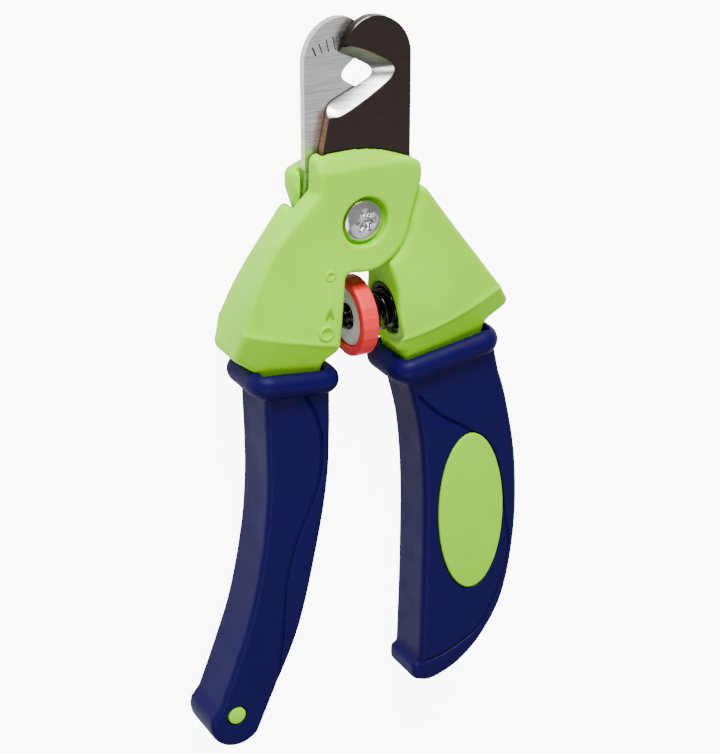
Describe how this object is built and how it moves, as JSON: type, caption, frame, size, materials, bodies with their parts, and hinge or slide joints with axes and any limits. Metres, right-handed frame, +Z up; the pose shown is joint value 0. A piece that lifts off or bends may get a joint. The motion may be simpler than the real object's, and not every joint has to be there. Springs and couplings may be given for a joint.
{
  "type": "pet nail trimmer",
  "caption": "Crossed two-handle pet nail trimmer with notched blades that shear past each other, sprung open, with an adjusting wheel and soft grips.",
  "frame": {"origin": "bottom centre of the bounding box, the tool lying on its back", "axes": "+Y along the tool towards the blades, +Z up out of the front face and along the pivot, +X to the right of the front face"},
  "size_m": [0.0814, 0.1656, 0.0182],
  "materials": {
    "green_plastic": "satin moulded lime green",
    "navy_rubber": "matte fine-textured dark blue",
    "red_plastic": "satin moulded red",
    "black_plastic": "matte",
    "bright_blade": "brushed bright steel",
    "dark_blade": "polished black-coated steel with a bright ground bevel",
    "steel": "bright steel",
    "black_steel": "blackened steel",
    "brass": "plain"
  },
  "bodies": {
    "left_half": {"left_frame": "green_plastic", "left_grip": "navy_rubber", "handle_plug": "green_plastic", "front_blade": "dark_blade", "front_blade_pin_1": "steel", "front_blade_pin_2": "steel", "pivot_screw": "steel", "pivot_bushing": "brass", "pivot_washer": "steel", "pivot_nut": "steel", "adjuster_stud": "black_steel", "stud_insert": "brass"},
    "right_half": {"right_frame": "green_plastic", "right_grip": "navy_rubber", "front_badge": "green_plastic", "rear_badge": "green_plastic", "rear_blade": "bright_blade", "rear_blade_pin_1": "steel", "rear_blade_pin_2": "steel", "return_spring": "black_steel", "spring_bush": "black_plastic"},
    "wheel_carriage": {"spring_seat": "steel"},
    "adjuster_wheel": {"wheel_disc": "steel", "wheel_ring": "red_plastic"}
  },
  "joints": [
    {"name": "handle_squeeze", "type": "hinge", "parent": "left_half", "child": "right_half", "pos_m": [-0.00032, 0.03943, 0.0091], "axis": [0, 0, 1], "range_deg": [-12.8, 0], "stiffness_Nm_per_rad": 1.1, "springref_deg": 5.73, "deforming": ["return_spring"]},
    {"name": "adjuster_travel", "type": "slide", "parent": "left_half", "child": "wheel_carriage", "axis": [1, 0, 0], "range_m": [-0.0031, 0]},
    {"name": "wheel_spin", "type": "hinge", "parent": "wheel_carriage", "child": "adjuster_wheel", "pos_m": [-0.00032, 0.01594, 0.0091], "axis": [1, 0, 0], "range_deg": [-892.9, 0]}
  ],
  "couplings": [
    {"joint": "wheel_spin", "follows": "adjuster_travel", "rad_per_m": 5026.5}
  ]
}
